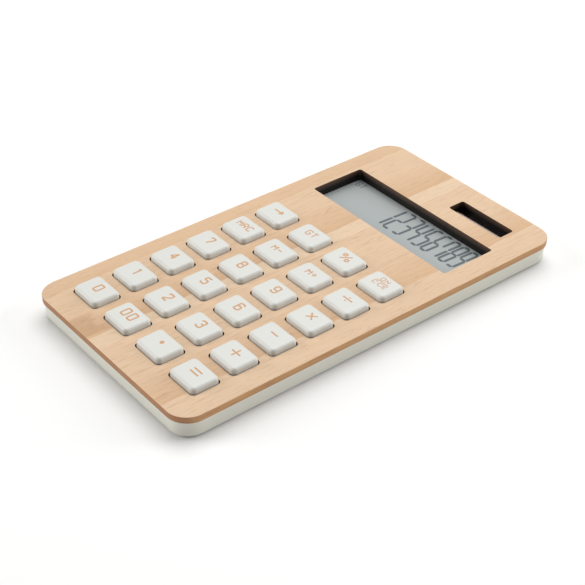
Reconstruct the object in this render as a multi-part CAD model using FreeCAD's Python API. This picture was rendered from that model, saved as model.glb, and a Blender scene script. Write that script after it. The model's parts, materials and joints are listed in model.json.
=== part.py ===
"""Desk calculator: a bamboo front plate on a white moulded case, with 24 keys, a display and a solar cell.

Millimetres. +X is the reader's right, +Y points to the display end and +Z points up out of the keys.
The origin is the middle of the plate's outline, on the plane that the four rubber feet stand on.
The keys, dome sheet and circuit board hang from a black inner frame, which is glued under the plate
and screwed into the case from behind. The display and the solar cell lie on the case's floor.
"""

import FreeCAD
import Part
import math
import os

Vector = FreeCAD.Vector
UP = Vector(0, 0, 1)

# Front plate
plate_width = 100.0
plate_length = 184.8
plate_thickness = 2.6
plate_corner_radius = 9.0
plate_edge_break = 0.2
glue_thickness = 0.15

# Layout of the front, measured on the plate's face
column_count = 4
row_count = 6
side_margin = 10.0
bottom_margin = 11.7
key_web_x = 6.13
key_web_y = 5.3
keypad_to_display = 20.1
display_side_margin = 9.5
display_window_length = 26.4
display_to_solar = 8.4
solar_window_width = 29.6
solar_window_length = 8.3
solar_side_margin = 14.0
top_margin = 10.4
window_corner_radius = 1.2

# Keys
key_height_above_plate = 2.4
key_corner_radius = 2.1
key_hole_corner_radius = 1.8
key_draft_degrees = 6.0
key_crown_fillet = 1.25
key_plate_clearance = 0.35
key_guide_clearance = 0.25
key_flange_overhang = 0.9
key_flange_thickness = 0.8
key_wall = 1.2
key_roof = 1.3
key_post_radius = 1.5
key_rib = 0.7
key_travel = 1.2
key_stop_gap = 0.2

# Rubber dome sheet
sheet_thickness = 0.5
sheet_border = 1.4
dome_base_radius = 3.6
dome_top_radius = 2.2
dome_height = 1.3
dome_wall = 0.45
dome_cap = 0.55
pill_radius = 1.5
pill_thickness = 0.3

# Circuit board
board_thickness = 0.8
board_screw_head_radius = 1.6
board_screw_head_height = 0.65
board_screw_radius = 0.8
board_screw_floor_gap = 0.1
board_boss_radius = 1.8
chip_radius = 3.4
chip_height = 1.1
capacitor_size = (3.2, 1.6, 1.2)
capacitor_x = (-22.0, -14.0, 18.0)
resistor_size = (2.0, 1.2, 0.5)
resistor_x = (-30.0, 10.0, 26.0, 32.0)

# Inner frame
frame_thickness = 1.2
frame_clearance = 0.2
sleeve_wall = 1.2
sleeve_setback = 0.15

# Case
case_wall = 1.8
case_floor = 1.5
case_inset_top = 0.6
case_inset_bottom = 0.95
case_bottom_fillet = 0.8
post_radius = 2.8
frame_boss_radius = 2.2
post_height = 1.3
corner_post_inset = 4.0
side_post_inset = 3.0
support_rib_width = 1.0
support_rib_gap = 0.1
fence_wall = 0.8
fence_leg = 4.0
fence_gap = 0.25
fence_height = 1.3

# Screws
case_screw_head_radius = 1.9
case_screw_head_height = 1.0
case_screw_head_sink = 0.3
case_screw_radius = 1.0
case_screw_length = 4.0
counterbore_clearance = 0.25
shank_clearance = 0.15
thread_clearance = 0.02
screw_edge_share = 0.35
recess_share = 0.6
recess_arm = 0.55
recess_depth = 0.5
boss_blind_end = 0.3

# Feet
foot_radius = 4.5
foot_proud = 0.6
foot_sunk = 0.5
foot_clearance = 0.1
foot_edge_fillet = 0.25
foot_inset_x = 12.0
foot_inset_y = 16.0
foot_cover_gap = 2.0

# Display
glass_thickness = 1.1
polariser_thickness = 0.2
reflector_thickness = 0.2
display_tape_thickness = 0.15
display_overlap = 2.0
display_ledge = 2.7
film_inset = 0.6
ribbon_thickness = 0.12
ribbon_width = 56.0
ribbon_landing = 2.6
ribbon_glass_gap = 0.3
board_fence_gap = 0.25

# Solar cell
solar_overlap = 1.2
solar_thickness = 1.3
solar_pad_inset = 2.0
solar_fence_leg = 2.5
solar_fence_grip = 0.6
solar_lead_start = 1.5

# Button cell, its contacts and its cover
cell_radius = 5.8
cell_thickness = 3.05
cell_can_step = 0.45
cell_rim = 0.9
cell_floor_gap = 0.05
cell_ring_clearance = 0.45
cell_ring_wall = 1.2
cell_ring_floor_gap = 0.12
contact_thickness = 0.25
contact_width = 3.6
contact_tongue_tip = 1.0
contact_slot_clearance = 0.2
contact_cell_gap = 0.02
leaf_degrees = 70.0
cover_margin = 1.1
cover_clearance = 0.2
lug_reach = 1.5
lug_thickness = 0.8
lug_degrees = 30.0
notch_degrees = 38.0
notch_clearance = 0.2
cover_turn_degrees = 60.0
cover_stop_gap_degrees = 1.5
cover_stop_degrees = 8.0
coin_slot_width = 1.6
coin_slot_length = 11.0
coin_slot_depth = 0.7
coin_slot_end_radius = 0.75

# Leads
lead_diameter = 1.0
lead_gap = 0.3
lead_spacing = 3.0
lead_arc_share = 0.45
lead_turn_before_board = 0.6
lead_end_on_board = 2.4
lead_pad_inset = 2.0
lead_pad_spacing = 2.0

# Names of the keys, from the bottom row up and from left to right
key_names = [
    ["zero", "double_zero", "decimal_point", "equals"],
    ["one", "two", "three", "plus"],
    ["four", "five", "six", "minus"],
    ["seven", "eight", "nine", "multiply"],
    ["memory_recall", "memory_minus", "memory_plus", "divide"],
    ["backspace", "grand_total", "percent", "on_clear"],
]

# Key sizes and places that follow from the layout
keypad_width = plate_width - 2 * side_margin
keypad_bottom = -plate_length / 2 + bottom_margin
solar_top = plate_length / 2 - top_margin
solar_bottom = solar_top - solar_window_length
display_top = solar_bottom - display_to_solar
display_bottom = display_top - display_window_length
keypad_top = display_bottom - keypad_to_display
key_width = (keypad_width - (column_count - 1) * key_web_x) / column_count
key_length = (keypad_top - keypad_bottom - (row_count - 1) * key_web_y) / row_count
key_pitch_x = key_width + key_web_x
key_pitch_y = key_length + key_web_y
column_x = [-keypad_width / 2 + key_width / 2 + n * key_pitch_x for n in range(column_count)]
row_y = [keypad_bottom + key_length / 2 + n * key_pitch_y for n in range(row_count)]

# Levels, from the feet up
case_bottom = foot_proud
floor_top = case_bottom + case_floor
board_bottom = floor_top + board_screw_floor_gap + board_screw_head_height
board_top = board_bottom + board_thickness
sheet_top = board_top + sheet_thickness
dome_top = sheet_top + dome_height
flange_bottom = sheet_top + key_stop_gap + key_travel
flange_top = flange_bottom + key_flange_thickness
frame_bottom = flange_top
frame_top = frame_bottom + frame_thickness
case_top = frame_top + glue_thickness
plate_bottom = case_top
plate_top = plate_bottom + plate_thickness
key_top = plate_top + key_height_above_plate
post_top = floor_top + post_height

# Display and solar cell levels
reflector_bottom = floor_top + display_tape_thickness
rear_glass_bottom = reflector_bottom + reflector_thickness
front_glass_bottom = rear_glass_bottom + glass_thickness
polariser_bottom = front_glass_bottom + glass_thickness
display_face = polariser_bottom + polariser_thickness
lead_z = board_top + lead_diameter / 2
solar_cell_bottom = board_top + lead_diameter
solar_face = solar_cell_bottom + solar_thickness

# Outlines in plan
display_window_width = plate_width - 2 * display_side_margin
display_middle_y = (display_top + display_bottom) / 2
glass_half_width = display_window_width / 2 + display_overlap
front_glass_y = (display_bottom - display_overlap, display_top + display_overlap)
rear_glass_y = (front_glass_y[0] - display_ledge, front_glass_y[1])
solar_middle_x = plate_width / 2 - solar_side_margin - solar_window_width / 2
solar_middle_y = (solar_top + solar_bottom) / 2
solar_cell_width = solar_window_width + 2 * solar_overlap
solar_cell_length = solar_window_length + 2 * solar_overlap
inner_half_width = plate_width / 2 - case_inset_top - case_wall
inner_half_length = plate_length / 2 - case_inset_top - case_wall
inner_corner_radius = plate_corner_radius - case_inset_top - case_wall

# Case posts and board bosses
side_post_y = (keypad_top + display_bottom) / 2
corner_post_y = inner_half_length - corner_post_inset
post_places = [
    (side * x, y)
    for side in (-1, 1)
    for x, y in (
        (inner_half_width - corner_post_inset, -corner_post_y),
        (inner_half_width - side_post_inset, side_post_y),
        (inner_half_width - corner_post_inset, corner_post_y),
    )
]
board_boss_places = [
    ((column_x[left] + column_x[left + 1]) / 2, (row_y[low] + row_y[low + 1]) / 2)
    for left in (0, column_count - 2)
    for low in (0, 2, 4)
]
board_half_width = inner_half_width - side_post_inset - post_radius - frame_clearance
board_y = (-corner_post_y + post_radius + frame_clearance,
           rear_glass_y[0] - fence_gap - fence_wall - board_fence_gap)
component_y = (keypad_top + sheet_border + board_y[1] - ribbon_landing) / 2

# Button cell bay, midway between the case wall and the solar cell
cell_x = (-inner_half_width + solar_middle_x - solar_cell_width / 2) / 2
cell_y = (rear_glass_y[1] + fence_gap + fence_wall + inner_half_length) / 2
cell_bottom = floor_top + cell_floor_gap
cell_top = cell_bottom + cell_thickness
ring_inner_radius = cell_radius + cell_ring_clearance
ring_outer_radius = ring_inner_radius + cell_ring_wall
cover_radius = ring_outer_radius + cover_margin
cover_hole_radius = cover_radius + cover_clearance
lug_radius = cover_radius + lug_reach
cover_rest_degrees = (cover_turn_degrees / 2, cover_turn_degrees / 2 + 180)

# Feet: the pair at the display end stands clear of the cell's cover
foot_y = (-plate_length / 2 + foot_inset_y,
          cell_y - lug_radius - notch_clearance - foot_cover_gap - foot_radius)
foot_places = [(side * (plate_width / 2 - foot_inset_x), y) for side in (-1, 1) for y in foot_y]

# Leads lie at the board's top, in the channel between the display and the case wall
channel_inner = glass_half_width + fence_gap + fence_wall + lead_gap + lead_diameter / 2
channel_outer = channel_inner + lead_gap + lead_diameter


def outline(width, length, radius, x=0.0, y=0.0, z=0.0):
    """A rectangle with round corners, as a closed wire parallel to XY."""
    half_x = width / 2
    half_y = length / 2
    if radius <= 0:
        signs = [(1, 1), (-1, 1), (-1, -1), (1, -1), (1, 1)]
        return Part.makePolygon([Vector(x + sx * half_x, y + sy * half_y, z) for sx, sy in signs])
    edges = []
    last_end = None
    first_start = None
    for turn, (sx, sy) in enumerate([(1, 1), (-1, 1), (-1, -1), (1, -1)]):
        middle = Vector(x + sx * (half_x - radius), y + sy * (half_y - radius), z)
        arc = Part.makeCircle(radius, middle, UP, 90 * turn, 90 * turn + 90)
        start = arc.valueAt(arc.FirstParameter)
        if last_end is None:
            first_start = start
        elif start.distanceToPoint(last_end) > 1e-6:
            edges.append(Part.makeLine(last_end, start))
        edges.append(arc)
        last_end = arc.valueAt(arc.LastParameter)
    if last_end.distanceToPoint(first_start) > 1e-6:
        edges.append(Part.makeLine(last_end, first_start))
    return Part.Wire(edges)


def slab(width, length, radius, low, high, x=0.0, y=0.0):
    """A round-cornered block from one level to another."""
    face = Part.Face(outline(width, length, radius, x, y, low))
    return face.extrude(Vector(0, 0, high - low))


def tapered_slab(low_size, low_radius, low, high_size, high_radius, high):
    """A round-cornered block centred on the Z axis, whose sides lean from one outline to another."""
    wires = [outline(*low_size, low_radius, z=low), outline(*high_size, high_radius, z=high)]
    return Part.makeLoft(wires, True, True)


def block(x_range, y_range, z_range):
    """A plain box between three ranges."""
    corner = Vector(x_range[0], y_range[0], z_range[0])
    sizes = [r[1] - r[0] for r in (x_range, y_range, z_range)]
    return Part.makeBox(*sizes, corner)


def disc(radius, x, y, low, high):
    """A cylinder standing on one level."""
    return Part.makeCylinder(radius, high - low, Vector(x, y, low))


def sector(inner_radius, outer_radius, middle_degrees, degrees, x, y, low, high):
    """Part of a ring about a vertical axis, centred on one direction."""
    start = middle_degrees - degrees / 2
    outer = Part.makeCylinder(outer_radius, high - low, Vector(0, 0, low), UP, degrees)
    part = outer.cut(disc(inner_radius, 0, 0, low, high)) if inner_radius > 0 else outer
    part.rotate(Vector(0, 0, 0), UP, start)
    part.translate(Vector(x, y, 0))
    return part


def joined(shapes):
    """Solids fused into one, with the seams between their coplanar faces removed."""
    whole = shapes[0].fuse(shapes[1:]) if len(shapes) > 1 else shapes[0]
    return whole.removeSplitter()


def level_edges(shape, z):
    """The edges that lie flat at one level."""
    flat = []
    for edge in shape.Edges:
        box = edge.BoundBox
        if abs(box.ZMin - z) < 1e-5 and abs(box.ZMax - z) < 1e-5:
            flat.append(edge)
    return flat


def key_holes(clearance, radius, low, high):
    """The 24 round-cornered holes that the keys pass through."""
    return [
        slab(key_width + 2 * clearance, key_length + 2 * clearance, radius, low, high, x, y)
        for x in column_x
        for y in row_y
    ]


def window_holes(setback, low, high):
    """The display's and the solar cell's windows, wider by the setback on every side."""
    radius = window_corner_radius + setback
    grow = 2 * setback
    display = slab(display_window_width + grow, display_window_length + grow, radius, low, high,
                   0, display_middle_y)
    solar = slab(solar_window_width + grow, solar_window_length + grow, radius, low, high,
                 solar_middle_x, solar_middle_y)
    return [display, solar]


def front_plate():
    """The bamboo sheet, with the keys' holes and two windows cut through it."""
    sheet = slab(plate_width, plate_length, plate_corner_radius, plate_bottom, plate_top)
    sheet = sheet.makeChamfer(plate_edge_break, level_edges(sheet, plate_top))
    holes = key_holes(key_plate_clearance, key_hole_corner_radius, plate_bottom, plate_top)
    return sheet.cut(holes + window_holes(0, plate_bottom, plate_top))


def frame_outline(low, high):
    """The block that fills the case's mouth, less its clearance."""
    return slab(2 * (inner_half_width - frame_clearance), 2 * (inner_half_length - frame_clearance),
                inner_corner_radius - frame_clearance, low, high)


def glue_sheet():
    """The double-sided sheet between the plate and the inner frame."""
    sheet = frame_outline(frame_top, plate_bottom)
    holes = key_holes(key_plate_clearance, key_hole_corner_radius, frame_top, plate_bottom)
    return sheet.cut(holes + window_holes(sleeve_setback, frame_top, plate_bottom))


def window_sleeves():
    """The walls that close the space between the frame and each window's panel, before they are opened."""
    sizes = [
        (display_window_width, display_window_length, 0, display_middle_y, display_face),
        (solar_window_width, solar_window_length, solar_middle_x, solar_middle_y, solar_face),
    ]
    grow = 2 * (sleeve_setback + sleeve_wall)
    radius = window_corner_radius + sleeve_setback + sleeve_wall
    return [slab(w + grow, l + grow, radius, low, frame_top, x, y) for w, l, x, y, low in sizes]


def screw_boss(radius, x, y, low, screw_radius):
    """A boss under the frame, and the blind hole that its screw cuts its thread in."""
    boss = disc(radius, x, y, low, frame_top)
    hole = disc(screw_radius + thread_clearance, x, y, low, frame_top - boss_blind_end)
    return boss, hole


def inner_frame():
    """The black frame: key guide, window sleeves, screw bosses and the ring round the button cell."""
    solids = [frame_outline(frame_bottom, frame_top)] + window_sleeves()
    lowest = min(display_face, solar_face)
    guide_radius = key_corner_radius + key_guide_clearance
    cuts = key_holes(key_guide_clearance, guide_radius, frame_bottom, frame_top)
    cuts += window_holes(sleeve_setback, lowest, frame_top)
    for x, y in post_places:
        boss, hole = screw_boss(frame_boss_radius, x, y, post_top, case_screw_radius)
        solids.append(boss)
        cuts.append(hole)
    for x, y in board_boss_places:
        boss, hole = screw_boss(board_boss_radius, x, y, board_top, board_screw_radius)
        solids.append(boss)
        cuts.append(hole)
    ring_low = floor_top + cell_ring_floor_gap
    solids.append(disc(ring_outer_radius, cell_x, cell_y, ring_low, frame_top))
    cuts.append(disc(ring_inner_radius, cell_x, cell_y, ring_low, frame_bottom))
    cuts += contact_slots()
    return joined(solids).cut(cuts)


def contact_slots():
    """The gaps in the ring that the two contacts pass through."""
    half = contact_width / 2 + contact_slot_clearance
    reach = (cell_x - cover_radius, cell_x)
    strip_low = frame_bottom - contact_thickness - contact_slot_clearance
    top_slot = block(reach, (cell_y + lead_spacing / 2 - half, cell_y + lead_spacing / 2 + half),
                     (strip_low, frame_bottom))
    tab_half = contact_thickness / 2 + contact_slot_clearance
    tab_low, tab_high = positive_tab_levels()
    side_slot = block(reach, (cell_y - lead_spacing - tab_half, cell_y - lead_spacing + tab_half),
                      (tab_low - contact_slot_clearance, tab_high + contact_slot_clearance))
    return [top_slot, side_slot]


def key_cap():
    """One key, centred on the Z axis: a hollow cap with a stop flange, cross ribs and a post for its dome."""
    lean = 2 * key_height_above_plate * math.tan(math.radians(key_draft_degrees))
    crown = tapered_slab((key_width, key_length), key_corner_radius, plate_top,
                         (key_width - lean, key_length - lean), key_corner_radius - lean / 2, key_top)
    crown = crown.makeFillet(key_crown_fillet, level_edges(crown, key_top))
    skirt = slab(key_width, key_length, key_corner_radius, flange_bottom, plate_top)
    flange = slab(key_width + 2 * key_flange_overhang, key_length + 2 * key_flange_overhang,
                  key_corner_radius + key_flange_overhang, flange_bottom, flange_top)
    shell = joined([crown, skirt, flange])
    ceiling = key_top - key_roof
    hollow = slab(key_width - 2 * key_wall, key_length - 2 * key_wall, key_corner_radius - key_wall,
                  flange_bottom, ceiling)
    post = disc(key_post_radius, 0, 0, dome_top, ceiling)
    ribs = [
        block((-key_width / 2 + key_wall, key_width / 2 - key_wall), (-key_rib / 2, key_rib / 2),
              (flange_top, ceiling)),
        block((-key_rib / 2, key_rib / 2), (-key_length / 2 + key_wall, key_length / 2 - key_wall),
              (flange_top, ceiling)),
    ]
    return joined([shell.cut(hollow), post] + ribs)


def dome_sheet():
    """The silicone sheet on the board, with a hollow dome under each key."""
    width = min(keypad_width + 2 * sheet_border, 2 * board_half_width)
    low_y = max(keypad_bottom - sheet_border, board_y[0])
    high_y = keypad_top + sheet_border
    sheet = block((-width / 2, width / 2), (low_y, high_y), (board_top, sheet_top))
    skirt_top = dome_top - dome_cap
    solids = [sheet]
    hollows = [disc(board_boss_radius + frame_clearance, x, y, board_top, sheet_top)
               for x, y in board_boss_places]
    for x in column_x:
        for y in row_y:
            place = Vector(x, y, sheet_top)
            solids.append(Part.makeCone(dome_base_radius, dome_top_radius, skirt_top - sheet_top, place))
            solids.append(disc(dome_top_radius, x, y, skirt_top, dome_top))
            hollows.append(Part.makeCone(dome_base_radius - dome_wall, dome_top_radius - dome_wall,
                                         skirt_top - board_top, Vector(x, y, board_top)))
    return joined(solids).cut(hollows)


def contact_pills():
    """The carbon disc inside each dome, which bridges two pads of the board."""
    high = dome_top - dome_cap
    return Part.makeCompound([disc(pill_radius, x, y, high - pill_thickness, high)
                              for x in column_x for y in row_y])


def circuit_board():
    """The board, with holes for its screws."""
    board = block((-board_half_width, board_half_width), board_y, (board_bottom, board_top))
    holes = [disc(board_screw_radius + shank_clearance, x, y, board_bottom, board_top)
             for x, y in board_boss_places]
    return board.cut(holes)


def chip_cover():
    """The drop of epoxy over the chip, as a low cap of a sphere."""
    sphere_radius = (chip_radius ** 2 + chip_height ** 2) / (2 * chip_height)
    ball = Part.makeSphere(sphere_radius, Vector(0, component_y, board_top + chip_height - sphere_radius))
    around = block((-chip_radius, chip_radius), (component_y - chip_radius, component_y + chip_radius),
                   (board_top, board_top + chip_height))
    return ball.common(around)


def chip_row(size, places):
    """Identical small components standing on the board in a row."""
    width, length, height = size
    return Part.makeCompound([
        block((x - width / 2, x + width / 2), (component_y - length / 2, component_y + length / 2),
              (board_top, board_top + height))
        for x in places
    ])


def screw(head_radius, head_height, shank_radius, shank_length, x, y, head_low):
    """A pan-head screw pointing up, with a cross recess in the underside of its head."""
    head = disc(head_radius, x, y, head_low, head_low + head_height)
    rim = level_edges(head, head_low)
    head = head.makeFillet(head_height * screw_edge_share, rim)
    shank = disc(shank_radius, x, y, head_low + head_height, head_low + head_height + shank_length)
    arm = head_radius * recess_share
    half = recess_arm / 2
    depth = (head_low, head_low + min(recess_depth, head_height * recess_share))
    cross = [
        block((x - arm, x + arm), (y - half, y + half), depth),
        block((x - half, x + half), (y - arm, y + arm), depth),
    ]
    return head.fuse(shank).cut(cross)


def board_screws():
    """The screws that clamp the board and the dome sheet to the frame."""
    length = frame_top - boss_blind_end - board_bottom - key_stop_gap
    low = board_bottom - board_screw_head_height
    return Part.makeCompound([
        screw(board_screw_head_radius, board_screw_head_height, board_screw_radius, length, x, y, low)
        for x, y in board_boss_places
    ])


def case_screws():
    """The screws that hold the case to the frame, sunk in the case's back."""
    low = case_bottom + case_screw_head_sink
    return Part.makeCompound([
        screw(case_screw_head_radius, case_screw_head_height, case_screw_radius, case_screw_length, x, y, low)
        for x, y in post_places
    ])


def corner_fences(x_range, y_range, leg, height):
    """Low L-shaped walls that locate a panel by its four corners."""
    walls = []
    low = floor_top
    high = floor_top + height
    for x, sx in ((x_range[0], -1), (x_range[1], 1)):
        for y, sy in ((y_range[0], -1), (y_range[1], 1)):
            x_near = x + sx * fence_gap
            x_far = x_near + sx * fence_wall
            y_near = y + sy * fence_gap
            y_far = y_near + sy * fence_wall
            x_leg = x - sx * leg
            y_leg = y - sy * leg
            walls.append(block(sorted((x_near, x_far)), sorted((y_leg, y_far)), (low, high)))
            walls.append(block(sorted((x_leg, x_far)), sorted((y_near, y_far)), (low, high)))
    return walls


def rear_case():
    """The white tray: posts, ribs and fences inside; screw pits, foot pockets and the cell's hole behind."""
    top_inset = 2 * case_inset_top
    bottom_inset = 2 * case_inset_bottom
    shell = tapered_slab(
        (plate_width - bottom_inset, plate_length - bottom_inset), plate_corner_radius - case_inset_bottom,
        case_bottom,
        (plate_width - top_inset, plate_length - top_inset), plate_corner_radius - case_inset_top,
        case_top)
    shell = shell.makeFillet(case_bottom_fillet, level_edges(shell, case_bottom))
    hollow = slab(2 * inner_half_width, 2 * inner_half_length, inner_corner_radius, floor_top, case_top)
    tray = shell.cut(hollow)
    solids = [tray] + [disc(post_radius, x, y, floor_top, post_top) for x, y in post_places]
    rib_high = board_bottom - support_rib_gap
    for x in column_x:
        solids.append(block((x - support_rib_width / 2, x + support_rib_width / 2),
                            (row_y[0], row_y[-1]), (floor_top, rib_high)))
    solids += corner_fences((-glass_half_width, glass_half_width), rear_glass_y, fence_leg, fence_height)
    solids += corner_fences(
        (solar_middle_x - solar_cell_width / 2, solar_middle_x + solar_cell_width / 2),
        (solar_middle_y - solar_cell_length / 2, solar_middle_y + solar_cell_length / 2),
        solar_fence_leg, solar_cell_bottom + solar_fence_grip - floor_top)
    cuts = [disc(cover_hole_radius, cell_x, cell_y, case_bottom, floor_top)]
    for rest in cover_rest_degrees:
        cuts.append(sector(0, lug_radius + notch_clearance, rest - cover_turn_degrees, notch_degrees,
                           cell_x, cell_y, case_bottom, floor_top))
        stop = rest + lug_degrees / 2 + cover_stop_gap_degrees + cover_stop_degrees / 2
        solids.append(sector(cover_hole_radius, lug_radius, stop, cover_stop_degrees, cell_x, cell_y,
                             floor_top, floor_top + lug_thickness))
    head_high = case_bottom + case_screw_head_sink + case_screw_head_height
    for x, y in post_places:
        cuts.append(disc(case_screw_head_radius + counterbore_clearance, x, y, case_bottom, head_high))
        cuts.append(disc(case_screw_radius + shank_clearance, x, y, case_bottom, post_top))
    for x, y in foot_places:
        cuts.append(disc(foot_radius + foot_clearance, x, y, case_bottom, case_bottom + foot_sunk))
    return joined(solids).cut(cuts)


def rubber_foot(x, y):
    """One foot, pressed into its pocket in the case's back."""
    foot = disc(foot_radius, x, y, 0, foot_proud + foot_sunk)
    return foot.makeFillet(foot_edge_fillet, level_edges(foot, 0))


def display_panel(y_range, low, thickness, inset=0.0):
    """One layer of the display, across its full width less an inset."""
    half = glass_half_width - inset
    return block((-half, half), (y_range[0] + inset, y_range[1] - inset), (low, low + thickness))


def display_ribbon():
    """The printed film that joins the board's edge to the ledge of the display's rear glass."""
    glass_level = front_glass_bottom
    board_edge = board_y[1]
    glass_edge = rear_glass_y[0]
    landing_end = front_glass_y[0] - ribbon_glass_gap
    path = [(board_edge - ribbon_landing, board_top), (board_edge, board_top),
            (glass_edge, glass_level), (landing_end, glass_level)]
    lower = [Vector(-ribbon_width / 2, y, z) for y, z in path]
    upper = [Vector(-ribbon_width / 2, y, z + ribbon_thickness) for y, z in reversed(path)]
    face = Part.Face(Part.makePolygon(lower + upper + lower[:1]))
    return face.extrude(Vector(ribbon_width, 0, 0))


def solar_cell():
    """The glass solar cell, held up against its window."""
    return slab(solar_cell_width, solar_cell_length, 0, solar_cell_bottom, solar_face,
                solar_middle_x, solar_middle_y)


def solar_pad():
    """The foam strip that presses the solar cell up."""
    return slab(solar_cell_width - 2 * solar_pad_inset, solar_cell_length - 2 * solar_pad_inset, 0,
                floor_top, solar_cell_bottom, solar_middle_x, solar_middle_y)


def button_cell():
    """The 11.6 mm button cell, its wide can towards the cover and its raised cap towards the frame."""
    can = disc(cell_radius, cell_x, cell_y, cell_bottom, cell_top - cell_can_step)
    cap = disc(cell_radius - cell_rim, cell_x, cell_y, cell_top - cell_can_step, cell_top)
    return can.fuse(cap).removeSplitter()


def negative_contact():
    """A springy strip over the cell, which runs out under the frame and turns down to its lead."""
    tail_x = cell_x - cover_radius - contact_thickness
    tongue_x = cell_x + cell_radius / 3
    bend_x = cell_x - cell_radius / 2
    strip_low = frame_bottom - contact_thickness
    tail_low = lead_z - lead_diameter / 2
    y = cell_y + lead_spacing / 2 - contact_width / 2
    corners = [
        (tail_x, tail_low), (tail_x + contact_thickness, tail_low),
        (tail_x + contact_thickness, strip_low), (bend_x, strip_low),
        (tongue_x, cell_top), (tongue_x + contact_tongue_tip, cell_top + contact_thickness),
        (bend_x, frame_bottom), (tail_x, frame_bottom),
    ]
    points = [Vector(x, y, z) for x, z in corners]
    face = Part.Face(Part.makePolygon(points + points[:1]))
    return face.extrude(Vector(0, contact_width, 0))


def positive_tab_levels():
    """How low and how high the contact on the cell's side reaches."""
    return floor_top + lug_thickness + contact_slot_clearance, cell_top - cell_can_step


def positive_contact():
    """A curved leaf against the cell's side, with a tab out through the ring."""
    low, high = positive_tab_levels()
    inner = cell_radius + contact_cell_gap
    leaf = sector(inner, inner + contact_thickness, 180, leaf_degrees, cell_x, cell_y, low, high)
    y = cell_y - lead_spacing
    half = contact_thickness / 2
    tab = block((cell_x - cover_radius, cell_x - math.sqrt(inner ** 2 - lead_spacing ** 2) - half),
                (y - half, y + half), (low, high))
    return joined([leaf, tab])


def battery_cover():
    """The round cover in the case's back: two bayonet lugs inside and a coin slot outside."""
    plate = disc(cover_radius, cell_x, cell_y, case_bottom, floor_top)
    lugs = [sector(ring_outer_radius + cover_clearance, lug_radius, rest, lug_degrees, cell_x, cell_y,
                   floor_top, floor_top + lug_thickness) for rest in cover_rest_degrees]
    slot = slab(coin_slot_length, coin_slot_width, coin_slot_end_radius, case_bottom,
                case_bottom + coin_slot_depth, cell_x, cell_y)
    return joined([plate] + lugs).cut(slot)


def lead(name, points):
    """A wire along straight runs joined by tangent arcs, each as large as its two runs allow."""
    corners = [Vector(x, y, lead_z) for x, y in points]
    edges = []
    start = corners[0]
    for before, corner, after in zip(corners, corners[1:], corners[2:]):
        back = before - corner
        ahead = after - corner
        half_turn = (math.pi - back.getAngle(ahead)) / 2
        reach = lead_arc_share * min(back.Length, ahead.Length)
        back.normalize()
        ahead.normalize()
        arc_start = corner + back * reach
        arc_end = corner + ahead * reach
        radius = reach / math.tan(half_turn)
        print(f"{name}: bend of radius {radius:.1f} mm")
        inward = back + ahead
        inward.normalize()
        arc_middle = corner + inward * (radius / math.cos(half_turn) - radius)
        edges.append(Part.makeLine(start, arc_start))
        edges.append(Part.Arc(arc_start, arc_middle, arc_end).toShape())
        start = arc_end
    edges.append(Part.makeLine(start, corners[-1]))
    path = Part.Wire(edges)
    direction = corners[1] - corners[0]
    section = Part.Wire(Part.makeCircle(lead_diameter / 2, corners[0], direction))
    return path.makePipeShell([section], True, False)


def lead_run(side, start_x, start_y, channel, landing):
    """The corners of one lead: out to its channel, along the display and in to the board."""
    board_edge = board_y[1]
    turn_y = rear_glass_y[0] + lead_turn_before_board + (channel_outer - channel) / 2
    landing_x = board_half_width - lead_pad_inset - landing
    return [
        (start_x, start_y),
        (side * channel, start_y),
        (side * channel, turn_y),
        (side * landing_x, board_edge - lead_end_on_board),
    ]


def all_leads():
    """The four wires: two from the solar cell on the right, two from the cell's contacts on the left."""
    solar_end = solar_middle_x + solar_cell_width / 2 - solar_lead_start
    tail_x = cell_x - cover_radius - contact_thickness
    tab_x = cell_x - cover_radius
    high_y = solar_middle_y + lead_spacing / 2
    low_y = solar_middle_y - lead_spacing / 2
    routes = {
        "solar_lead_positive": lead_run(1, solar_end, high_y, channel_outer, 0),
        "solar_lead_negative": lead_run(1, solar_end, low_y, channel_inner, lead_pad_spacing),
        "battery_lead_negative": lead_run(-1, tail_x, cell_y + lead_spacing / 2, channel_outer, 0),
        "battery_lead_positive": lead_run(-1, tab_x, cell_y - lead_spacing, channel_inner,
                                          lead_pad_spacing),
    }
    return {name: lead(name, points) for name, points in routes.items()}


def build_all():
    """Every sub-part by the name of its node."""
    parts = {
        "front_plate": front_plate(),
        "glue_sheet": glue_sheet(),
        "inner_frame": inner_frame(),
        "rear_case": rear_case(),
        "dome_sheet": dome_sheet(),
        "contact_pills": contact_pills(),
        "circuit_board": circuit_board(),
        "chip_cover": chip_cover(),
        "capacitors": chip_row(capacitor_size, capacitor_x),
        "resistors": chip_row(resistor_size, resistor_x),
        "board_screws": board_screws(),
        "case_screws": case_screws(),
        "display_tape": display_panel(rear_glass_y, floor_top, display_tape_thickness, film_inset),
        "display_reflector": display_panel(rear_glass_y, reflector_bottom, reflector_thickness, film_inset),
        "display_rear_glass": display_panel(rear_glass_y, rear_glass_bottom, glass_thickness),
        "display_front_glass": display_panel(front_glass_y, front_glass_bottom, glass_thickness),
        "display_polariser": display_panel(front_glass_y, polariser_bottom, polariser_thickness, film_inset),
        "display_ribbon": display_ribbon(),
        "solar_cell": solar_cell(),
        "solar_pad": solar_pad(),
        "button_cell": button_cell(),
        "negative_contact": negative_contact(),
        "positive_contact": positive_contact(),
        "battery_cover": battery_cover(),
    }
    parts.update(all_leads())
    for number, (x, y) in enumerate(foot_places, 1):
        parts[f"rubber_foot_{number}"] = rubber_foot(x, y)
    cap = key_cap()
    for row, names in enumerate(key_names):
        for column, name in enumerate(names):
            key = cap.copy()
            key.translate(Vector(column_x[column], row_y[row], 0))
            parts[f"key_{name}"] = key
    return parts


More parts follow.
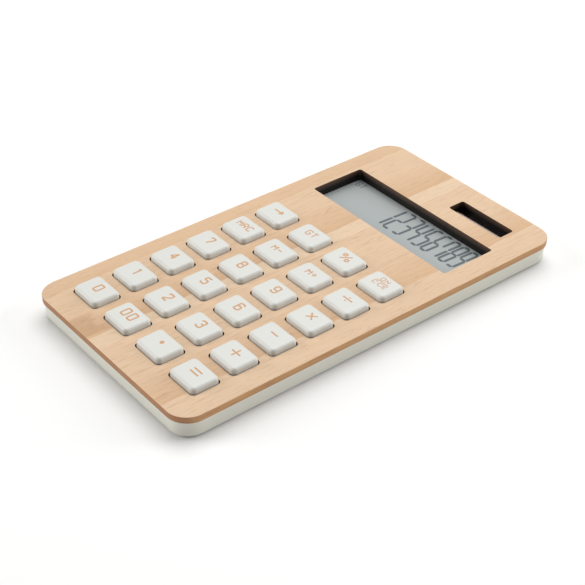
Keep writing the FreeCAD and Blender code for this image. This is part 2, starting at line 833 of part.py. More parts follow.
def main():
    os.makedirs("parts", exist_ok=True)
    for name, shape in build_all().items():
        if not shape.isValid():
            raise ValueError(f"{name} is not a valid shape")
        shape.exportStep(f"parts/{name}.step")
        print(f"{name}: {len(shape.Solids)} solid(s), {shape.Volume:.1f} mm3")


main()
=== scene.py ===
import bmesh
import bpy
import json
import math
from mathutils import Matrix, Vector


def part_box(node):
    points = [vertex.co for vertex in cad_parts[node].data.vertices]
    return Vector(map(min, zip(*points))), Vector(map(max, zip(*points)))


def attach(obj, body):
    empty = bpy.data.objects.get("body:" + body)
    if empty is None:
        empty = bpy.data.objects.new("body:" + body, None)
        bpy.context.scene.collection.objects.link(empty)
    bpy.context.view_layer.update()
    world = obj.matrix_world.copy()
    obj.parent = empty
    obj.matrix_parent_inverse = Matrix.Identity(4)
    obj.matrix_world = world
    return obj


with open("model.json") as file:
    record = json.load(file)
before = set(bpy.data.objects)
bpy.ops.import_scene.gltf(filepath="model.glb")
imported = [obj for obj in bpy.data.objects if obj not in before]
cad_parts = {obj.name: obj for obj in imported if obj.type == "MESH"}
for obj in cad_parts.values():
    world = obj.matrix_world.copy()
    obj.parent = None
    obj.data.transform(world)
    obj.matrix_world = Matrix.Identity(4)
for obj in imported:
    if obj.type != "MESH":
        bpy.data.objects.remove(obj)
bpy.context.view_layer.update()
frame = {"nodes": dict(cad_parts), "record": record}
nodes = frame["nodes"]
scene = bpy.context.scene
mm = 0.001
sliver = 0.0005                     # mm, an edge shorter than this is dissolved
print("frame loaded:", len(nodes), "nodes")


def paint(red, green, blue):
    # a colour as a paint chart gives it, 0 to 255, made linear
    shares = [channel / 255 for channel in (red, green, blue)]
    linear = [s / 12.92 if s < 0.04045 else ((s + 0.055) / 1.055) ** 2.4 for s in shares]
    return (*linear, 1.0)


# shader helpers: a Flow is a socket that takes part in arithmetic

class Flow:
    def __init__(self, graph, socket):
        self.graph = graph
        self.socket = socket

    def maths(self, operation, *others):
        return self.graph.node("ShaderNodeMath", {"operation": operation}, [self, *others])

    def __add__(self, other):
        return self.maths("ADD", other)

    def __radd__(self, other):
        return self.maths("ADD", other)

    def __sub__(self, other):
        return self.maths("SUBTRACT", other)

    def __rsub__(self, other):
        return self.graph.node("ShaderNodeMath", {"operation": "SUBTRACT"}, [other, self])

    def __mul__(self, other):
        return self.maths("MULTIPLY", other)

    def __rmul__(self, other):
        return self.maths("MULTIPLY", other)

    def __truediv__(self, other):
        return self.maths("DIVIDE", other)

    def __abs__(self):
        return self.maths("ABSOLUTE")


class Graph:
    def __init__(self, name):
        self.material = bpy.data.materials.new(name)
        self.material.use_nodes = True
        self.tree = self.material.node_tree
        self.tree.nodes.clear()

    def node(self, kind, settings=None, inputs=(), output=0):
        made = self.tree.nodes.new(kind)
        for setting, value in (settings or {}).items():
            if setting == "stops":
                self.setStops(made.color_ramp, value)
            elif setting == "steps":
                made.color_ramp.interpolation = value
            else:
                setattr(made, setting, value)
        pairs = inputs.items() if isinstance(inputs, dict) else enumerate(inputs)
        for key, value in pairs:
            if isinstance(value, Flow):
                self.tree.links.new(value.socket, made.inputs[key])
            else:
                made.inputs[key].default_value = value
        return Flow(self, made.outputs[output] if made.outputs else None)

    def setStops(self, ramp, stops):
        while len(ramp.elements) < len(stops):
            ramp.elements.new(1.0)
        for element, (position, value) in zip(ramp.elements, stops):
            element.position = position
            element.color = value if isinstance(value, tuple) else (value, value, value, 1.0)

    def place(self):
        # object coordinates in millimetres
        spot = self.node("ShaderNodeTexCoord", output=3)
        return self.node("ShaderNodeVectorMath", {"operation": "SCALE"}, {0: spot, 3: 1 / mm})

    def axes(self, spot):
        return [self.node("ShaderNodeSeparateXYZ", None, [spot], output=axis) for axis in range(3)]

    def vector(self, x, y, z):
        return self.node("ShaderNodeCombineXYZ", None, [x, y, z])

    def noise(self, spot, scale, detail=2.0, roughness=0.5):
        settings = {"noise_dimensions": "3D", "normalize": True}
        return self.node("ShaderNodeTexNoise", settings,
                         {"Vector": spot, "Scale": scale, "Detail": detail, "Roughness": roughness})

    def ramp(self, factor, stops, steps="LINEAR"):
        return self.node("ShaderNodeValToRGB", {"steps": steps, "stops": stops}, [factor])

    def span(self, value, low, high):
        # 0 below low, 1 above high and smooth between
        settings = {"interpolation_type": "SMOOTHSTEP", "clamp": True}
        return self.node("ShaderNodeMapRange", settings, [value, low, high, 0.0, 1.0])

    def mix(self, factor, first, second):
        settings = {"data_type": "RGBA", "blend_type": "MIX", "clamp_result": False}
        return self.node("ShaderNodeMix", settings, {0: factor, 6: first, 7: second}, output=2)

    def shade(self, colour, amount):
        # a colour made lighter or darker by a number
        plain = colour[:3] if isinstance(colour, tuple) else colour
        return self.node("ShaderNodeVectorMath", {"operation": "SCALE"}, {0: plain, 3: amount})

    def tint(self, colour, shares):
        return self.node("ShaderNodeVectorMath", {"operation": "MULTIPLY"}, [colour, shares])

    def bump(self, height, depth, strength=1.0):
        return self.node("ShaderNodeBump", None, {"Height": height, "Strength": strength, "Distance": depth})

    def finish(self, **sockets):
        named = {name.replace("_", " "): value for name, value in sockets.items()}
        shader = self.node("ShaderNodeBsdfPrincipled", None, named)
        self.node("ShaderNodeOutputMaterial", None, {"Surface": shader})
        return self.material


# finishes

def moulded(name, colour, grain=0.35, depth=0.012, roughness=0.45, cloud=0.02, **extra):
    # moulded plastic or rubber: spark-eroded grain, and clouds where the melt cooled unevenly
    g = Graph(name)
    spot = g.place()
    pits = g.noise(spot, 1 / grain, 3.0, 0.55)
    clouds = g.noise(spot, 0.06, 2.0)
    tone = 1 + (clouds - 0.5) * (2 * cloud) + (pits - 0.5) * cloud
    return g.finish(Base_Color=g.shade(colour, tone), Roughness=roughness + (pits - 0.5) * 0.12,
                    Normal=g.bump(pits, depth * mm), **extra)


def plated(name, colour, roughness=0.3, turned=False):
    # plated or rolled metal: fine lines along X, or an even fine mottle when it was turned
    g = Graph(name)
    spot = g.place()
    lines = g.noise(g.tint(spot, (0.4, 7, 7)), 1.0, 4.0, 0.6)
    if turned:
        lines = g.noise(spot, 5.0, 4.0, 0.6)
    stains = g.noise(spot, 0.5, 3.0)
    return g.finish(Base_Color=g.shade(colour, 0.86 + lines * 0.18 + stains * 0.1), Metallic=1.0,
                    Roughness=roughness + (lines - 0.5) * 0.25, Normal=g.bump(lines, 0.004 * mm))


bamboo = {
    "pale": paint(242, 216, 186),
    "deep": paint(226, 188, 150),
    # each strip: its left edge in mm from the middle line, then how pale it is at its left and right
    "strips": ((-50, 0.4, 0.3), (-42, 0.7, 0.6), (-26, 0.5, 0.0), (-10, 1.0, 0.9),
               (-2.5, 0.6, 0.6), (5.5, 0.7, 0.6), (21.5, 0.5, 0.0), (37.5, 0.7, 0.6)),
    "wholeTone": (0.82, 0.79, 0.75),     # the whole plate's tone, over the strips' colours
    "fibre": paint(176, 128, 86),
    "joint": paint(170, 122, 84),
    "edge": paint(198, 150, 99),         # cut along the cane
    "edgeEnd": paint(172, 122, 82),      # cut across the cane
    "edgeDark": paint(140, 92, 58),
    "char": paint(92, 64, 48),
    # char low in the openings, darkened with painted shade
    "charWithShade": paint(40, 28, 21),
    "cornerRadius": 9.0,
}


def caneColour(paleness):
    # between the deep and the pale colour of the cane
    return tuple(d + (p - d) * paleness for d, p in zip(bamboo["deep"], bamboo["pale"]))


def bambooPlate():
    g = Graph("bamboo")
    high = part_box("front_plate")[1]
    spot = g.place()
    x, y, z = g.axes(spot)
    halfX = high.x / mm
    halfY = high.y / mm
    topZ = high.z / mm

    # the strips are sawn straight but not perfectly, so their joints wander a little
    wander = g.noise(g.vector(0.0, y * 0.05, 0.0), 1.0, 2.0) - 0.5
    across = (x + wander * 0.5 + halfX) / (2 * halfX)
    starts = [(strip[0] + halfX) / (2 * halfX) for strip in bamboo["strips"]] + [1.0]
    colours = []
    marks = []
    for number, (edge, left, right) in enumerate(bamboo["strips"]):
        colours += [(starts[number], caneColour(left)), (starts[number + 1] - 0.002, caneColour(right))]
        marks.append((starts[number], (number * 5 % 8) / 8))
    wood = g.ramp(across, colours)
    strip = g.ramp(across, marks, "CONSTANT")

    # tone drifts from strip to strip and along the board
    drift = g.noise(g.vector(x * 0.05, y * 0.012, strip * 37.0), 1.0, 2.0)
    bands = g.noise(g.vector(x * 0.45, y * 0.016, strip * 11.0), 1.0, 3.0)
    patches = g.noise(g.vector(x * 0.10, y * 0.055, strip * 23.0), 1.0, 3.0, 0.6)
    wood = g.shade(wood, 0.9 + drift * 0.08 + bands * 0.07 + patches * 0.05)

    # bundles of fibres: broad soft streaks, short dark dashes and fine pin lines
    streaks = g.noise(g.vector(x * 1.5, y * 0.05, strip * 5.0), 1.0, 4.0, 0.65)
    dashes = g.noise(g.vector(x * 2.3, y * 0.13, 4.0 + strip * 9.0), 1.0, 3.0, 0.6)
    pins = g.noise(g.vector(x * 8.0, y * 0.35, z), 1.0, 3.0, 0.6)
    wood = g.mix(g.span(streaks, 0.52, 0.76) * 0.30, wood, bamboo["fibre"])
    wood = g.mix(g.span(dashes, 0.58, 0.68) * 0.36, wood, bamboo["fibre"])
    wood = g.mix(g.span(pins, 0.56, 0.80) * 0.26, wood, bamboo["fibre"])

    # a knuckle of the cane at the lower end of the third strip, and a scar below the display
    cloud = g.noise(g.vector(x * 0.3, y * 0.16, 7.0), 1.0, 3.0, 0.6)
    lowerEnd = 1 - g.span(y + (cloud - 0.5) * 14, -86.0, -82.0)
    knuckle = lowerEnd * g.span(x, -24.6, -23.6) * (1 - g.span(x, -12.5, -10.5))
    wood = g.mix(knuckle * 0.34, wood, bamboo["fibre"])
    slant = abs(x + 23.4 + (y - 33.0) * 0.55 + (dashes - 0.5) * 2)
    scar = (1 - g.span(slant, 0.1, 0.55)) * (1 - g.span(abs(y - 33.0), 2.6, 4.0))
    wood = g.mix(scar * 0.30, wood, bamboo["fibre"])

    # the glue joint between two strips, broken here and there
    for number, (edge, left, right) in enumerate(bamboo["strips"][1:]):
        line = 1 - g.span(abs(x - edge + wander * 0.5), 0.04, 0.24)
        gap = g.span(g.noise(g.vector(y * 0.13, 9.0 * number, 0.0), 1.0, 3.0, 0.6), 0.42, 0.62)
        wood = g.mix(line * gap * 0.34, wood, bamboo["joint"])

    # how far a point lies inside the plate's outline
    radius = bamboo["cornerRadius"]
    cornerX = (abs(x) - (halfX - radius)).maths("MAXIMUM", 0.0)
    cornerY = (abs(y) - (halfY - radius)).maths("MAXIMUM", 0.0)
    reach = (cornerX * cornerX + cornerY * cornerY).maths("SQRT")
    outside = g.span(reach, radius - 0.45, radius - 0.25)
    onFace = g.span(z, topZ - 0.16, topZ - 0.04) * (1 - g.span(reach, radius - 0.18, radius - 0.06))

    layers = g.noise(g.vector(x * 0.16, y * 0.08, z * 2.4), 1.0, 4.0, 0.65)
    endGrain = g.noise(spot, 4.5, 3.0, 0.6)
    sawn = g.mix(g.span(cornerY, 2.0, radius - 1.0), bamboo["edge"], bamboo["edgeEnd"])
    edge = g.mix(g.span(layers + (endGrain - 0.5) * 0.5, 0.36, 0.80) * 0.7, sawn, bamboo["edgeDark"])
    edge = g.mix((1 - g.span(z, topZ - 2.6, topZ - 1.9)) * 0.35, edge, bamboo["edgeDark"])
    # the walls of the openings are charred, and painted shade makes them darker towards their bottom along a
    # wobbling line
    shadeLineWobble = g.noise(g.vector(x * 0.5, y * 0.5, z * 1.2), 1.0, 3.0, 0.6)
    char = g.mix(g.span(z + (shadeLineWobble - 0.5) * 1.6, topZ - 2.6, topZ - 0.3), bamboo["charWithShade"], bamboo["char"])
    wall = g.mix(outside, char, edge)
    colour = g.mix(onFace, wall, g.tint(wood, bamboo["wholeTone"]))
    relief = streaks * 0.4 + pins * 0.6
    return g.finish(Base_Color=colour, Roughness=0.62 - onFace * 0.12 + (pins - 0.5) * 0.16,
                    Normal=g.bump(relief, 0.02 * mm, 0.6))


solar = {
    "cells": 4,
    "dark": paint(16, 9, 8),
    "cloudy": paint(28, 17, 16),
    "line": paint(92, 80, 84),
    "busbar": paint(206, 190, 184),
    "busbarShift": 1.2,                 # mm from the middle of the cell
    "busbarHalf": 0.38,
}


def solarGlass():
    # dark cells in a row, parted by fine lines and joined by a silver bar, under clear glass
    g = Graph("solarGlass")
    low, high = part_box("solar_cell")
    x, y = g.axes(g.place())[:2]
    cellWidth = (high.x - low.x) / mm / solar["cells"]
    along = (x - low.x / mm) / cellWidth + 0.5
    line = 1 - g.span(abs(along.maths("FRACT") - 0.5), 0.008, 0.022)
    cloud = g.noise(g.vector(x, y, 0.0), 0.4, 3.0)
    colour = g.mix(cloud, solar["dark"], solar["cloudy"])
    colour = g.mix(line * 0.6, colour, solar["line"])
    fromMiddle = abs(y - (low.y + high.y) / 2 / mm - solar["busbarShift"])
    bar = 1 - g.span(fromMiddle, solar["busbarHalf"] - 0.04, solar["busbarHalf"] + 0.04)
    colour = g.mix(bar * (0.85 + cloud * 0.15), colour, solar["busbar"])
    return g.finish(Base_Color=colour, Roughness=0.12 + cloud * 0.05, IOR=1.6, Coat_Weight=1.0,
                    Coat_Roughness=0.04)


film = {
    "colour": paint(170, 176, 175),
}


def polariser():
    # matt grey film over the display
    g = Graph("polariser")
    x, y = g.axes(g.place())[:2]
    haze = g.noise(g.vector(x, y, 0.0), 3.5, 3.0, 0.6)
    cloud = g.noise(g.vector(x, y, 2.0), 0.05, 2.0)
    colour = g.shade(film["colour"], 0.95 + cloud * 0.06 + haze * 0.04)
    return g.finish(Base_Color=colour, Roughness=0.30 + haze * 0.1, Normal=g.bump(haze, 0.003 * mm))


def circuitBoard():
    # green solder mask over copper tracks
    g = Graph("circuitBoard")
    x, y = g.axes(g.place())[:2]
    weave = g.noise(g.vector(x * 3, y * 3, 0.0), 1.0, 2.0)
    across = abs((x * 0.8 + (y * 0.13).maths("SINE")).maths("FRACT") - 0.5)
    track = g.span(across, 0.20, 0.26)
    mask = g.mix(track, paint(28, 92, 56), paint(46, 122, 74))
    colour = g.shade(mask, 0.9 + weave * 0.2)
    return g.finish(Base_Color=colour, Roughness=0.35 + weave * 0.1, Normal=g.bump(track, 0.03 * mm))


def clearGlass():
    g = Graph("displayGlass")
    dust = g.noise(g.place(), 1.2, 3.0)
    colour = g.shade(paint(214, 226, 224), 0.96 + dust * 0.06)
    return g.finish(Base_Color=colour, Roughness=0.05 + dust * 0.04, IOR=1.52, Transmission_Weight=0.9)


def printedInk(name, colour, roughness):
    # pad-printed ink: its film is a little uneven
    g = Graph(name)
    spot = g.place()
    film = g.noise(spot, 2.4, 4.0, 0.6)
    speckle = g.noise(spot, 9.0, 2.0)
    return g.finish(Base_Color=g.shade(colour, 0.92 + film * 0.12 + (speckle - 0.5) * 0.08),
                    Roughness=roughness + (film - 0.5) * 0.2, Normal=g.bump(film, 0.004 * mm))


def paleFloor():
    g = Graph("paleFloor")
    grain = g.noise(g.place(), 0.8, 3.0)
    return g.finish(Base_Color=g.shade(paint(247, 247, 246), 0.992 + grain * 0.012), Roughness=0.8)


finishes = {
    "bamboo": bambooPlate(),
    "case_plastic": moulded("casePlastic", paint(217, 215, 203), 0.30, 0.010, 0.48, 0.012),
    "key_plastic": moulded("keyPlastic", paint(215, 215, 210), 0.45, 0.006, 0.40, 0.010),
    "black_plastic": moulded("blackPlastic", paint(21, 16, 13), 0.30, 0.012, 0.55, 0.05,
                             Specular_IOR_Level=0.25),
    "adhesive": moulded("adhesive", paint(40, 31, 25), 0.8, 0.01, 0.6, 0.04),
    "silicone": moulded("silicone", paint(196, 202, 202), 0.6, 0.008, 0.35, 0.03),
    "carbon_rubber": moulded("carbonRubber", paint(20, 20, 21), 0.25, 0.01, 0.7, 0.06),
    "phenolic_board": circuitBoard(),
    "epoxy": moulded("epoxy", paint(16, 16, 17), 2.0, 0.02, 0.18, 0.05),
    "ceramic": moulded("ceramic", paint(158, 132, 98), 0.3, 0.02, 0.5, 0.08),
    "zinc_steel": plated("zincSteel", paint(196, 196, 194), 0.32, True),
    "display_glass": clearGlass(),
    "polariser_film": polariser(),
    "reflector_film": plated("reflectorFilm", paint(188, 190, 190), 0.45),
    "ribbon_film": moulded("ribbonFilm", paint(184, 150, 84), 0.5, 0.01, 0.35, 0.05),
    "solar_glass": solarGlass(),
    "foam": moulded("foam", paint(30, 30, 31), 0.5, 0.12, 0.85, 0.12),
    "cell_steel": plated("cellSteel", paint(206, 205, 200), 0.25, True),
    "nickel_contact": plated("nickelContact", paint(200, 192, 176), 0.3),
    "red_insulation": moulded("redInsulation", paint(176, 36, 30), 0.5, 0.01, 0.4, 0.03),
    "black_insulation": moulded("blackInsulation", paint(22, 22, 23), 0.5, 0.01, 0.4, 0.04),
    "foot_rubber": moulded("footRubber", paint(58, 57, 56), 0.30, 0.03, 0.75, 0.06),
    "legend_ink": printedInk("legendInk", paint(204, 156, 110), 0.45),
    "display_ink": printedInk("displayInk", paint(92, 101, 105), 0.4),
}
slotOf = {part["node"]: part["material_slot"] for part in frame["record"]["subparts"]}
for name, node in nodes.items():
    node.data.materials.clear()
    node.data.materials.append(finishes[slotOf[name]])
    node.data.polygons.foreach_set("material_index", [0] * len(node.data.polygons))
print("finishes given to the CAD nodes")


# small mesh helpers

def settled(source, name):
    # a new object whose mesh is what the source's modifiers make
    depsgraph = bpy.context.evaluated_depsgraph_get()
    mesh = bpy.data.meshes.new_from_object(source.evaluated_get(depsgraph))
    mesh.name = name
    bpy.data.objects.remove(source)
    made = bpy.data.objects.new(name, mesh)
    scene.collection.objects.link(made)
    return made


def objectFrom(bm, name):
    mesh = bpy.data.meshes.new(name)
    bm.to_mesh(mesh)
    bm.free()
    made = bpy.data.objects.new(name, mesh)
    scene.collection.objects.link(made)
    bpy.context.view_layer.update()
    return made


def dress(piece, slot, body):
    piece.data.materials.clear()
    piece.data.materials.append(finishes[slot])
    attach(piece, body)
    return piece


def combine(pieces, name):
    # the first piece with the others added to it
    first = pieces[0]
    if len(pieces) > 1:
        bm = bmesh.new()
        for other in pieces[1:]:
            bm.from_mesh(other.data)
            bpy.data.objects.remove(other)
        rest = objectFrom(bm, name + "Rest")
        change = first.modifiers.new("combine", "BOOLEAN")
        change.operation = "UNION"
        change.solver = "EXACT"
        change.use_self = True
        change.object = rest
        bpy.context.view_layer.update()
        first = settled(first, name)
        bpy.data.objects.remove(rest)
        # the union leaves slivers where two strokes cross
        bm = bmesh.new()
        bm.from_mesh(first.data)
        bmesh.ops.dissolve_degenerate(bm, dist=sliver * mm, edges=bm.edges[:])
        bm.to_mesh(first.data)
        bm.free()
    first.name = name
    return first


# key legends: every glyph is a few strokes on a grid 4 wide and 6 high

def loop(left, bottom, right, top):
    return [(left, bottom), (right, bottom), (right, top), (left, top), (left, bottom)]


glyphs = {
    "0": [loop(0, 0, 4, 6)],
    "1": [[(0.7, 4.9), (2.2, 6), (2.2, 0)]],
    "2": [[(0, 4.8), (0, 6), (4, 6), (4, 3.5), (0, 0.9), (0, 0), (4, 0)]],
    "3": [[(0, 4.9), (0, 6), (4, 6), (4, 3.15), (1.6, 3.15)],
          [(2.6, 3.15), (4, 3.15), (4, 0), (0, 0), (0, 1.1)]],
    "4": [[(3, 0), (3, 6)], [(3, 6), (0, 1.9), (4.2, 1.9)]],
    "5": [[(4, 6), (0, 6), (0, 3.5), (4, 3.5), (4, 0), (0, 0), (0, 1.1)]],
    "6": [loop(0, 0, 4, 3.4), [(0, 2), (0, 6), (4, 6), (4, 5)]],
    "7": [[(0, 4.9), (0, 6), (4, 6), (4, 4.7), (1.7, 0)]],
    "8": [loop(0, 0, 4, 3.15), loop(0.2, 3.15, 3.8, 6)],
    "9": [loop(0, 2.6, 4, 6), [(4, 4), (4, 0), (0, 0), (0, 1)]],
    "M": [[(0, 0), (0, 5.7), (2, 2.7), (4, 5.7), (4, 0)]],
    "R": [[(0, 0), (0, 6), (4, 6), (4, 2.9), (0.2, 2.9)], [(2, 2.9), (4, 0)]],
    "C": [[(4, 4.9), (4, 6), (0, 6), (0, 0), (4, 0), (4, 1.1)]],
    "G": [[(4, 5), (4, 6), (0, 6), (0, 0), (4, 0), (4, 2.9), (2, 2.9)]],
    "T": [[(0, 6), (4, 6)], [(2, 5.8), (2, 0)]],
    "O": [loop(0, 0, 4, 6)],
    "N": [[(0, 0), (0, 5.7), (4, 0.3), (4, 6)]],
    "E": [[(4, 6), (0, 6), (0, 0), (4, 0)], [(0.2, 3), (3.2, 3)]],
    "-": [[(0, 3), (4, 3)]],
    "+": [[(0, 3), (4, 3)], [(2, 0.6), (2, 5.4)]],
}

signs = {
    "plus": [[(-2.4, 0), (2.4, 0)], [(0, -2.2), (0, 2.2)]],
    "minus": [[(-2.0, 0), (2.0, 0)]],
    "multiply": [[(-1.6, -1.6), (1.6, 1.6)], [(-1.6, 1.6), (1.6, -1.6)]],
    "divide": [[(-2.6, 0), (2.6, 0)], [(0, 0.95), (0, 1.6)], [(0, -1.6), (0, -0.95)]],
    "equals": [[(-2.4, 0.95), (2.4, 0.95)], [(-2.4, -0.95), (2.4, -0.95)]],
    "percent": [[(-1.8, -1.9), (1.8, 1.9)], loop(-2.4, 0.5, -0.9, 1.9), loop(0.9, -1.9, 2.4, -0.5)],
    "backspace": [[(-2.6, 0), (2.4, 0)], [(1.0, 1.15), (2.5, 0.05)], [(1.0, -1.15), (2.5, -0.05)]],
}

legend = {
    "stroke": 0.72,                 # mm, width of a printed stroke
    "signStroke": 0.66,
    "smallStroke": 0.52,
    "tinyStroke": 0.36,
    "corner": 0.55,                 # how much of a corner is cut off
    "film": 0.03,                   # how far the ink stands up from the key
    "sunk": 0.01,
    "shift": (0.0, 1.0),            # from the middle of the key, mm
    "digitSize": (2.4, 4.15),
    "letterSize": (2.1, 3.0),
    "letterGap": 1.0,
    "dotRadius": 0.9,
}


def thickStroke(points, width, corner, low, high, name):
    # a wall along the stroke, cut at its corners and given the stroke's width
    closed = points[0] == points[-1]
    spots = points[:-1] if closed else points
    bm = bmesh.new()
    corners = [bm.verts.new((x * mm, y * mm, low)) for x, y in spots]
    for first, second in zip(corners, corners[1:]):
        bm.edges.new((first, second))
    if closed:
        bm.edges.new((corners[-1], corners[0]))
    turning = corners if closed else corners[1:-1]
    if turning:
        bmesh.ops.bevel(bm, geom=turning, offset=corner * mm, offset_type="OFFSET", segments=2, profile=0.5,
                        affect="VERTICES", clamp_overlap=True, material=-1)
        # two cut corners can meet in one point, and a wall of no length has no side to thicken
        bmesh.ops.remove_doubles(bm, verts=bm.verts[:], dist=0.01 * mm)
    raised = bmesh.ops.extrude_edge_only(bm, edges=bm.edges[:])["geom"]
    lifted = [item for item in raised if isinstance(item, bmesh.types.BMVert)]
    bmesh.ops.translate(bm, verts=lifted, vec=(0, 0, high - low))
    bmesh.ops.recalc_face_normals(bm, faces=bm.faces[:])
    wall = objectFrom(bm, name)
    shell = wall.modifiers.new("width", "SOLIDIFY")
    shell.thickness = width * mm
    shell.offset = 0.0
    shell.use_even_offset = True
    shell.use_rim = True
    bpy.context.view_layer.update()
    return settled(wall, name)


def textStrokes(text, size, gap, centre=(0, 0)):
    # the strokes of a short text, centred on a point
    width, height = size
    step = width + gap
    left = centre[0] - (step * len(text) - gap) / 2
    strokes = []
    for number, letter in enumerate(text):
        for stroke in glyphs[letter]:
            strokes.append([(left + number * step + x * width / 4, centre[1] + (y / 6 - 0.5) * height)
                            for x, y in stroke])
    return strokes


def inkDot(radius, low, high, name):
    bm = bmesh.new()
    bmesh.ops.create_cone(bm, cap_ends=True, segments=40, radius1=radius * mm, radius2=radius * mm,
                          depth=high - low, matrix=Matrix.Translation((0, 0, (low + high) / 2)))
    return objectFrom(bm, name)


digits = {"zero": "0", "double_zero": "00", "one": "1", "two": "2", "three": "3", "four": "4", "five": "5",
          "six": "6", "seven": "7", "eight": "8", "nine": "9"}
letters = {"memory_recall": "MRC", "memory_minus": "M-", "memory_plus": "M+", "grand_total": "GT"}


def keyLegend(key):
    low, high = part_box("key_" + key)
    bottom = high.z - legend["sunk"] * mm
    top = high.z + legend["film"] * mm
    name = "legend_" + key
    stroke = legend["stroke"]
    corner = legend["corner"]
    if key in digits:
        strokes = textStrokes(digits[key], legend["digitSize"], legend["letterGap"] + 0.75)
    elif key in letters:
        strokes = textStrokes(letters[key], legend["letterSize"], legend["letterGap"])
        stroke = legend["smallStroke"]
    elif key == "on_clear":
        strokes = textStrokes("ON", (1.65, 1.9), 0.95, (0, 1.7))
        strokes += textStrokes("C", (1.6, 1.9), 0.0, (-2.5, -1.7))
        strokes += textStrokes("CE", (1.6, 1.9), 0.75, (1.85, -1.7))
        strokes += [[(-3.3, 0), (3.3, 0)], [(-0.95, -1.7), (-0.5, -1.7)]]
        stroke = legend["tinyStroke"]
        corner = 0.35
    else:
        strokes = signs.get(key, [])
        stroke = legend["signStroke"]
        corner = 0.3
    made = [thickStroke(points, stroke, corner, bottom, top, name) for points in strokes]
    if key == "decimal_point":
        made = [inkDot(legend["dotRadius"], bottom, top, name)]
    piece = combine(made, name)
    middle = (low + high) / 2
    shiftX, shiftY = legend["shift"]
    piece.data.transform(Matrix.Translation((middle.x + shiftX * mm, middle.y + shiftY * mm, 0)))
    return dress(piece, "legend_ink", "key_" + key)


keyNames = [name[4:] for name in sorted(nodes) if name.startswith("key_")]
for key in keyNames:
    keyLegend(key)
print("legends printed:", len(keyNames))


# the display's reading

reading = {
    "text": "123456789",
    "lastMiddle": 32.4,             # mm, middle of the last digit
    "pitch": 4.85,                  # from the last digit to the one before it
    "pitchGrowth": 0.12,            # more room for each digit further left
    "width": (4.75, 4.45),          # of the first and of the last digit
    "top": (64.5, 64.7),
    "bottom": (47.8, 49.4),
    "segment": 1.25,
    "gap": 0.12,
    "slant": 0.06,
    "film": 0.03,                   # how far the segments stand up from the film
    "sunk": 0.01,
}
litSegments = {"1": "bc", "2": "abged", "3": "abgcd", "4": "fgbc", "5": "afgcd", "6": "afgedc",
               "7": "fabc", "8": "abcdefg", "9": "abcdfg"}


def segmentBar(bm, start, end, width, low, high):
    # one segment: a flat bar with pointed ends
    across = Vector(end) - Vector(start)
    length = across.length
    turn = math.atan2(across.y, across.x)
    middle = (Vector(start) + Vector(end)) / 2
    place = Matrix.Translation((middle.x * mm, middle.y * mm, (low + high) / 2))
    shape = place @ Matrix.Rotation(turn, 4, "Z") @ Matrix.Diagonal((length * mm, width * mm, high - low, 1))
    made = bmesh.ops.create_cube(bm, size=1.0, matrix=shape)["verts"]
    upright = {edge for vert in made for edge in vert.link_edges
               if abs(edge.verts[0].co.z - edge.verts[1].co.z) > (high - low) / 2}
    bmesh.ops.bevel(bm, geom=list(upright), offset=width * 0.46 * mm, offset_type="OFFSET", segments=1,
                    profile=0.5, affect="EDGES", clamp_overlap=True, material=-1)


def displayReading():
    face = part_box("display_polariser")[1].z
    low = face - reading["sunk"] * mm
    high = face + reading["film"] * mm
    bm = bmesh.new()
    count = len(reading["text"])
    for number, digit in enumerate(reading["text"]):
        share = number / (count - 1)
        width, top, bottom = (pair[0] + (pair[1] - pair[0]) * share
                              for pair in (reading["width"], reading["top"], reading["bottom"]))
        halfX = (width - reading["segment"]) / 2
        halfY = (top - bottom - reading["segment"]) / 2
        steps = count - 1 - number
        centreX = reading["lastMiddle"] - steps * (reading["pitch"] + reading["pitchGrowth"] * steps / 2)
        corners = {"tl": (-halfX, halfY), "tr": (halfX, halfY), "ml": (-halfX, 0), "mr": (halfX, 0),
                   "bl": (-halfX, -halfY), "br": (halfX, -halfY)}
        ends = {"a": ("tl", "tr"), "b": ("tr", "mr"), "c": ("mr", "br"), "d": ("bl", "br"),
                "e": ("ml", "bl"), "f": ("tl", "ml"), "g": ("ml", "mr")}
        for name in litSegments[digit]:
            first, second = (Vector(corners[spot]) for spot in ends[name])
            pull = (second - first).normalized() * reading["gap"]
            points = [first + pull, second - pull]
            shifted = [(p.x + centreX + p.y * reading["slant"], p.y + (top + bottom) / 2) for p in points]
            segmentBar(bm, shifted[0], shifted[1], reading["segment"], low, high)
    return dress(objectFrom(bm, "display_digits"), "display_ink", "casing")


totalMark = {
    "text": "GT",
    "middle": (-36.4, 62.5),        # in the display's top left corner, mm
    "letterSize": (1.7, 3.3),
    "letterGap": 0.9,
    "stroke": 0.40,
    "corner": 0.3,
    "film": 0.02,
}


def displayMark():
    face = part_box("display_polariser")[1].z
    low = face - reading["sunk"] * mm
    high = face + totalMark["film"] * mm
    strokes = textStrokes(totalMark["text"], totalMark["letterSize"], totalMark["letterGap"],
                          totalMark["middle"])
    made = [thickStroke(points, totalMark["stroke"], totalMark["corner"], low, high, "display_mark")
            for points in strokes]
    return dress(combine(made, "display_mark"), "display_ink", "casing")


displayReading()
displayMark()
print("display reading made")


# turning marks on the back, moulded in the plastic

backMarks = {
    "coverDot": (6.9, 0.45),        # distance from the cover's middle and radius, mm
    "caseDot": (11.6, 0.5),
    "angles": (-90, -150),          # of the closed and the open mark, degrees from +X, seen from above
    "height": 0.12,
    "sunk": 0.05,
    "taper": 0.9,
    "ring": 0.22,                   # wall of the hollow dot that means open
}


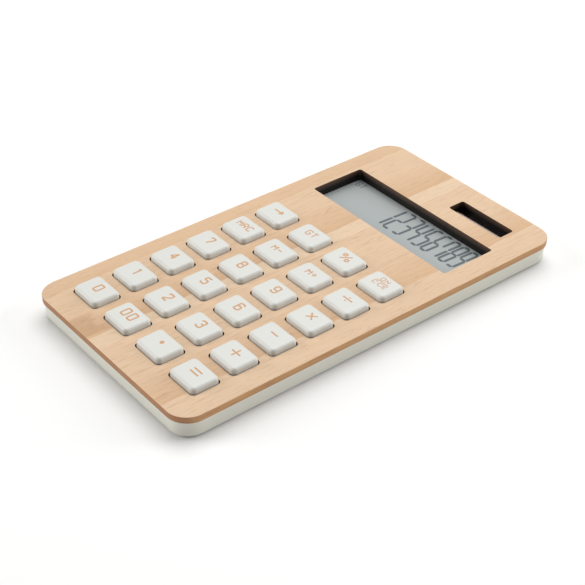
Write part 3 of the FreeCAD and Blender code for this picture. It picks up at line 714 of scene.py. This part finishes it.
def roundMark(name, middle, reach, angle, radius, face, hollow):
    # a low dot or ring that stands down from a face on the back
    low = face - backMarks["height"] * mm
    high = face + backMarks["sunk"] * mm
    turn = math.radians(angle)
    bm = bmesh.new()
    bmesh.ops.create_cone(bm, cap_ends=True, segments=36, radius1=radius * mm * backMarks["taper"],
                          radius2=radius * mm, depth=high - low,
                          matrix=Matrix.Translation((0, 0, (low + high) / 2)))
    if hollow:
        bottom = [side for side in bm.faces if side.normal.z < -0.9]
        bmesh.ops.inset_region(bm, faces=bottom, thickness=backMarks["ring"] * mm, use_even_offset=True)
        bmesh.ops.translate(bm, verts=bottom[0].verts[:], vec=(0, 0, backMarks["height"] * mm * 0.9))
    place = middle + Vector((math.cos(turn), math.sin(turn), 0)) * reach * mm
    bmesh.ops.translate(bm, verts=bm.verts[:], vec=(place.x, place.y, 0))
    return objectFrom(bm, name)


def makeBackMarks():
    low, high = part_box("battery_cover")
    middle = (low + high) / 2
    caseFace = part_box("rear_case")[0].z
    closed, opened = backMarks["angles"]
    reach, radius = backMarks["caseDot"]
    closedMark = roundMark("mark_closed", middle, reach, closed, radius, caseFace, False)
    openMark = roundMark("mark_open", middle, reach, opened, radius, caseFace, True)
    reach, radius = backMarks["coverDot"]
    coverMark = roundMark("mark_cover", middle, reach, closed, radius, low.z, False)
    dress(closedMark, "case_plastic", "casing")
    dress(openMark, "case_plastic", "casing")
    dress(coverMark, "case_plastic", "battery_cover")


makeBackMarks()
print("back marks moulded")


# floor, light and camera

def areaLight(name, place, target, size, power):
    lamp = bpy.data.lights.new(name, "AREA")
    lamp.shape = "DISK"
    lamp.size = size
    lamp.energy = power
    made = bpy.data.objects.new(name, lamp)
    made.location = place
    made.rotation_euler = (Vector(target) - Vector(place)).to_track_quat("-Z", "Y").to_euler()
    scene.collection.objects.link(made)
    return made


studio = {
    # each lamp: its place, what it points at, its width in metres and its power in watts
    "lamps": {
        "softTop": ((-0.26, 0.42, 1.19), (0, 0, 0), 1.37, 14.0),
        "fillNear": ((-1.6, -1.7, 0.85), (0, 0, 0), 1.6, 33.0),
        "fillFar": ((0.95, 1.85, 0.7), (0, 0.05, 0), 1.4, 22.0),
    },
    "sky": 0.24,
    "cameraTarget": (0.0031, -0.0072, 0.0008),
    "cameraDistance": 0.544,
    "cameraAzimuth": 51.6,
    "cameraElevation": 35.87,
    "lens": 84.71,
    "sensor": 36.0,
}


def makeStudio():
    bm = bmesh.new()
    bmesh.ops.create_grid(bm, x_segments=1, y_segments=1, size=2.5)
    floor = objectFrom(bm, "floor")
    floor.data.materials.append(paleFloor())

    world = bpy.data.worlds.new("studio")
    scene.world = world
    world.use_nodes = True
    backdrop = world.node_tree.nodes["Background"]
    backdrop.inputs["Color"].default_value = (1, 1, 1, 1)
    # the backdrop looks white, and lights the object as a dim room does
    seen = world.node_tree.nodes.new("ShaderNodeLightPath")
    level = world.node_tree.nodes.new("ShaderNodeMapRange")
    level.inputs["To Min"].default_value = studio["sky"]
    level.inputs["To Max"].default_value = 1.0
    world.node_tree.links.new(seen.outputs["Is Camera Ray"], level.inputs["Value"])
    world.node_tree.links.new(level.outputs["Result"], backdrop.inputs["Strength"])

    for name, (place, target, size, power) in studio["lamps"].items():
        areaLight(name, place, target, size, power)
    scene.view_settings.view_transform = "Standard"

    azimuth = math.radians(studio["cameraAzimuth"])
    elevation = math.radians(studio["cameraElevation"])
    back = Vector((math.sin(azimuth) * math.cos(elevation), -math.cos(azimuth) * math.cos(elevation),
                   math.sin(elevation)))
    lens = bpy.data.cameras.new("camera")
    lens.lens = studio["lens"]
    lens.sensor_width = studio["sensor"]
    lens.clip_start = 0.01
    camera = bpy.data.objects.new("camera", lens)
    camera.location = Vector(studio["cameraTarget"]) + back * studio["cameraDistance"]
    camera.rotation_euler = (-back).to_track_quat("-Z", "Y").to_euler()
    scene.collection.objects.link(camera)
    scene.camera = camera


makeStudio()
print("studio set")
